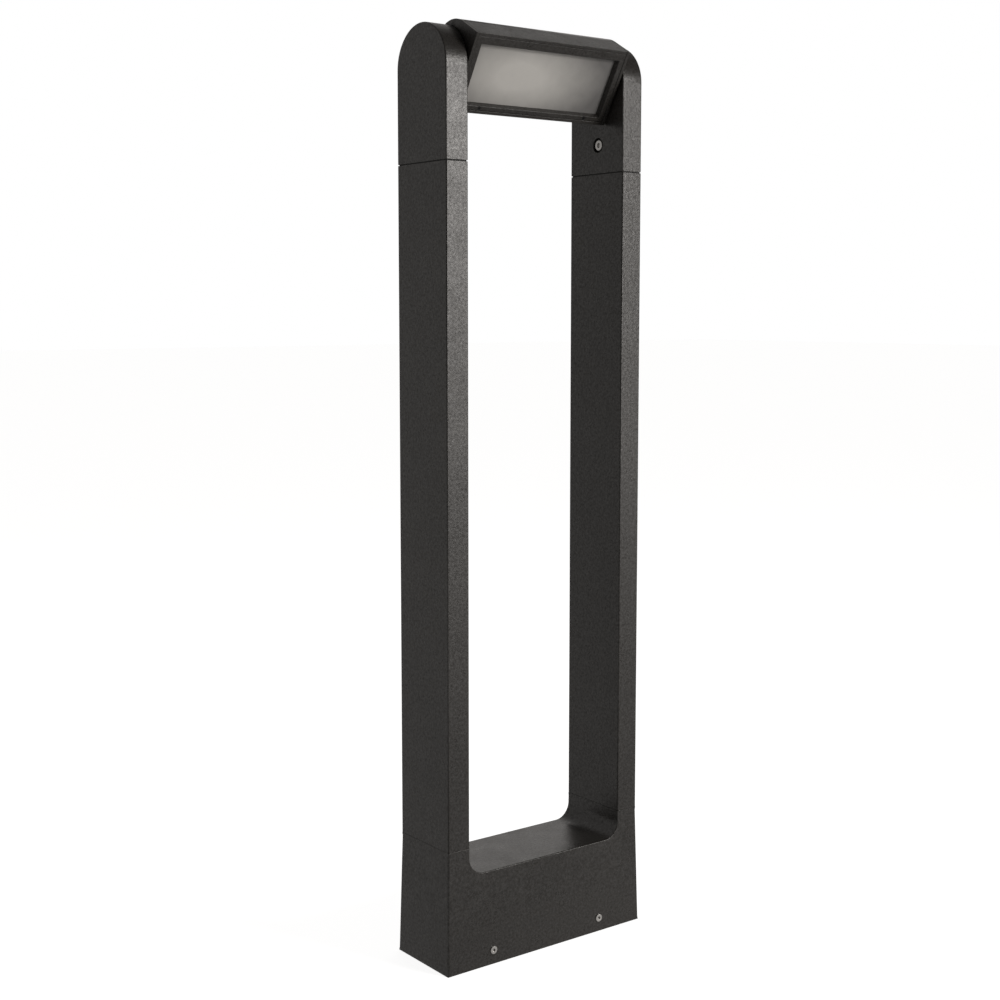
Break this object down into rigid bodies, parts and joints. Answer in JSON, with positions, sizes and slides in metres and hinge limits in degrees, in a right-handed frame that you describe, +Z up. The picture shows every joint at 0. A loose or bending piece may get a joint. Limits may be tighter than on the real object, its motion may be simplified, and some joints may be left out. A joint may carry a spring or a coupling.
{
  "type": "bollard light",
  "caption": "Garden bollard light: flat posts on a cast base, round-topped caps and a shaded lamp head that tilts on a pivot between them.",
  "frame": {"origin": "middle of the footprint of the posts, on the floor", "axes": "+Z up, +X to the right seen from the front, the light faces -Y"},
  "size_m": [0.2168, 0.0847, 0.8033],
  "materials": {
    "powder_coat": "fine-textured satin powder coat, anthracite",
    "zinc_steel": "zinc-plated steel",
    "stainless": "bright stainless steel",
    "black_steel": "blackened stainless steel",
    "black_rubber": "matt black rubber",
    "lead_jacket": "smooth black jacket",
    "opal_diffuser": "frosted opal polycarbonate",
    "white_plastic": "moulded white plastic",
    "bronze_bush": "sintered bronze",
    "brass": "turned brass",
    "aluminium": "plain rolled aluminium",
    "board": "white solder mask",
    "led_lens": "phosphor-coated chip"
  },
  "bodies": {
    "stand": {"base_casting": "powder_coat", "foot_plate": "zinc_steel", "clinch_nuts": "zinc_steel", "base_fixing_screws": "stainless", "cable_grommet": "black_rubber", "terminal_block": "white_plastic", "terminal_screws": "brass", "earth_stud": "brass", "earth_nut": "brass", "led_driver": "white_plastic", "driver_screws": "zinc_steel", "driver_lead": "lead_jacket", "riser_lead": "lead_jacket", "post_tie_screws": "zinc_steel", "left_post": "powder_coat", "right_post": "powder_coat", "left_cap_insert": "aluminium", "right_cap_insert": "aluminium", "insert_screws": "zinc_steel", "left_cap_gasket": "black_rubber", "right_cap_gasket": "black_rubber", "left_cap": "powder_coat", "right_cap": "powder_coat", "cap_fixing_screws": "stainless", "left_bush": "bronze_bush", "right_bush": "bronze_bush"},
    "head": {"left_pivot_shaft": "stainless", "right_pivot_shaft": "stainless", "pivot_nuts": "zinc_steel", "friction_washers": "stainless", "pivot_seals": "black_rubber", "head_shell": "powder_coat", "left_end_plate": "powder_coat", "right_end_plate": "powder_coat", "end_plate_screws": "black_steel", "heat_plate": "aluminium", "plate_screws": "zinc_steel", "led_board": "board", "board_screws": "zinc_steel", "led_chips": "led_lens", "board_lead": "lead_jacket", "reflector_tray": "white_plastic", "diffuser_gasket": "black_rubber", "diffuser": "opal_diffuser", "front_bezel": "powder_coat", "bezel_screws": "black_steel"}
  },
  "joints": [
    {"name": "head_tilt", "type": "hinge", "parent": "stand", "child": "head", "pos_m": [0, 0, 0.7645], "axis": [1, 0, 0], "range_deg": [-30, 60]}
  ]
}
